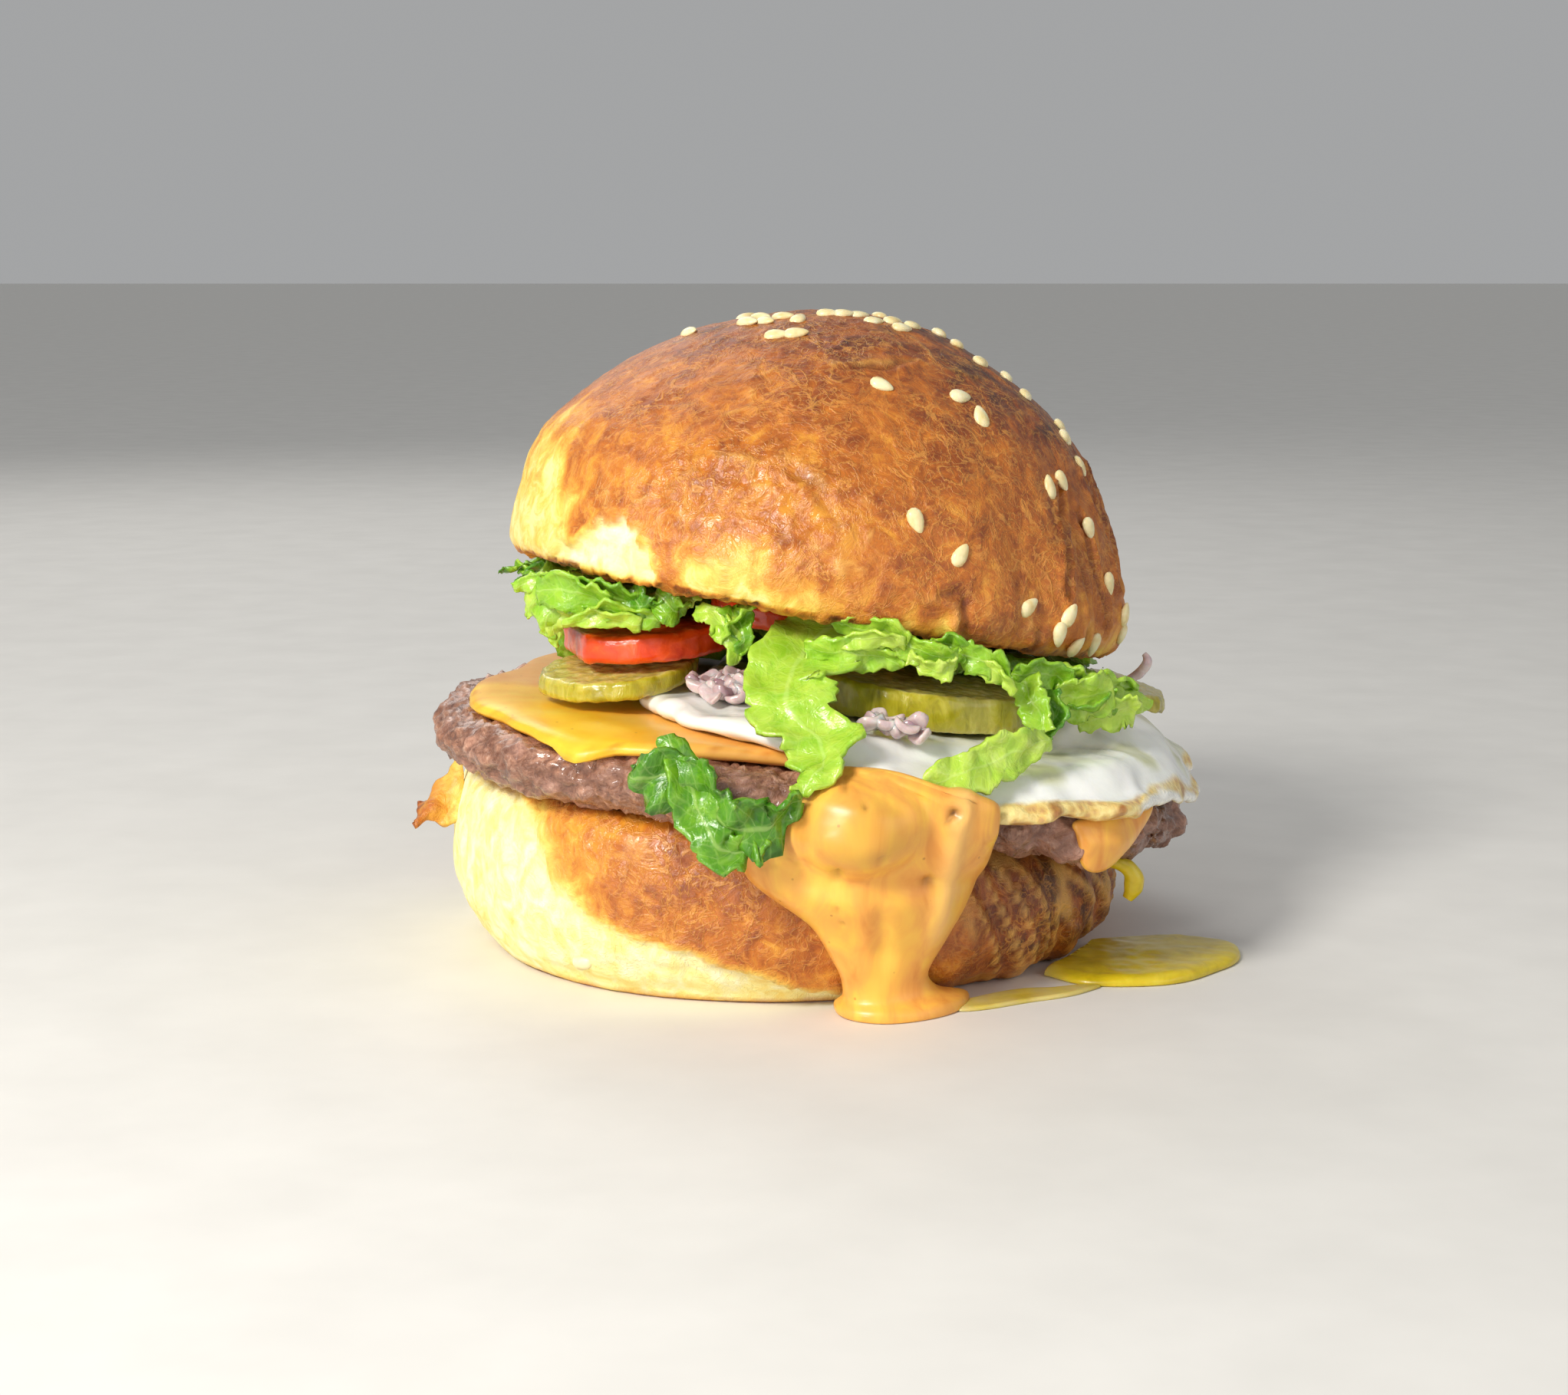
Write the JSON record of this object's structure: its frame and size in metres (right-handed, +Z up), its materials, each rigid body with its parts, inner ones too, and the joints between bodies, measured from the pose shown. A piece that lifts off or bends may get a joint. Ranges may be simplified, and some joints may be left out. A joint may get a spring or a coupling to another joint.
{
  "type": "cheeseburger",
  "caption": "Tall cheeseburger with fried egg, pickle, tomato, onion, lettuce and dripping sauce in a seeded soft bun.",
  "frame": {"origin": "centre of the bottom bun's flat base", "axes": "+Z up through the stack; the open, sauced front faces -Y; the stack sinks towards +X"},
  "size_m": [0.131, 0.128, 0.1003],
  "materials": {
    "bun": "baked crust, satin",
    "patty": "grilled mince, moist",
    "cheese": "melted, satin",
    "egg": "fried white, glossy",
    "pickle": "wet, glossy",
    "tomato": "wet, glossy",
    "onion": "wet, glossy",
    "lettuce": "fresh leaf, satin",
    "sauce": "creamy, glossy",
    "yolk": "liquid, glossy"
  },
  "bodies": {
    "root": {"bun_bottom": "bun", "patty": "patty", "cheese": "cheese", "fried_egg": "egg", "pickle_left": "pickle", "pickle_right": "pickle", "pickle_end": "pickle", "tomato_left": "tomato", "tomato_right": "tomato", "onion_left": "onion", "onion_front": "onion", "onion_curl": "onion", "lettuce": "lettuce", "lettuce_centre": "lettuce", "lettuce_front": "lettuce", "lettuce_right": "lettuce", "lettuce_end": "lettuce", "sauce_front": "sauce", "sauce_side": "sauce", "yolk_pool": "yolk", "yolk_drip": "yolk", "bun_top": "bun"}
  },
  "joints": []
}
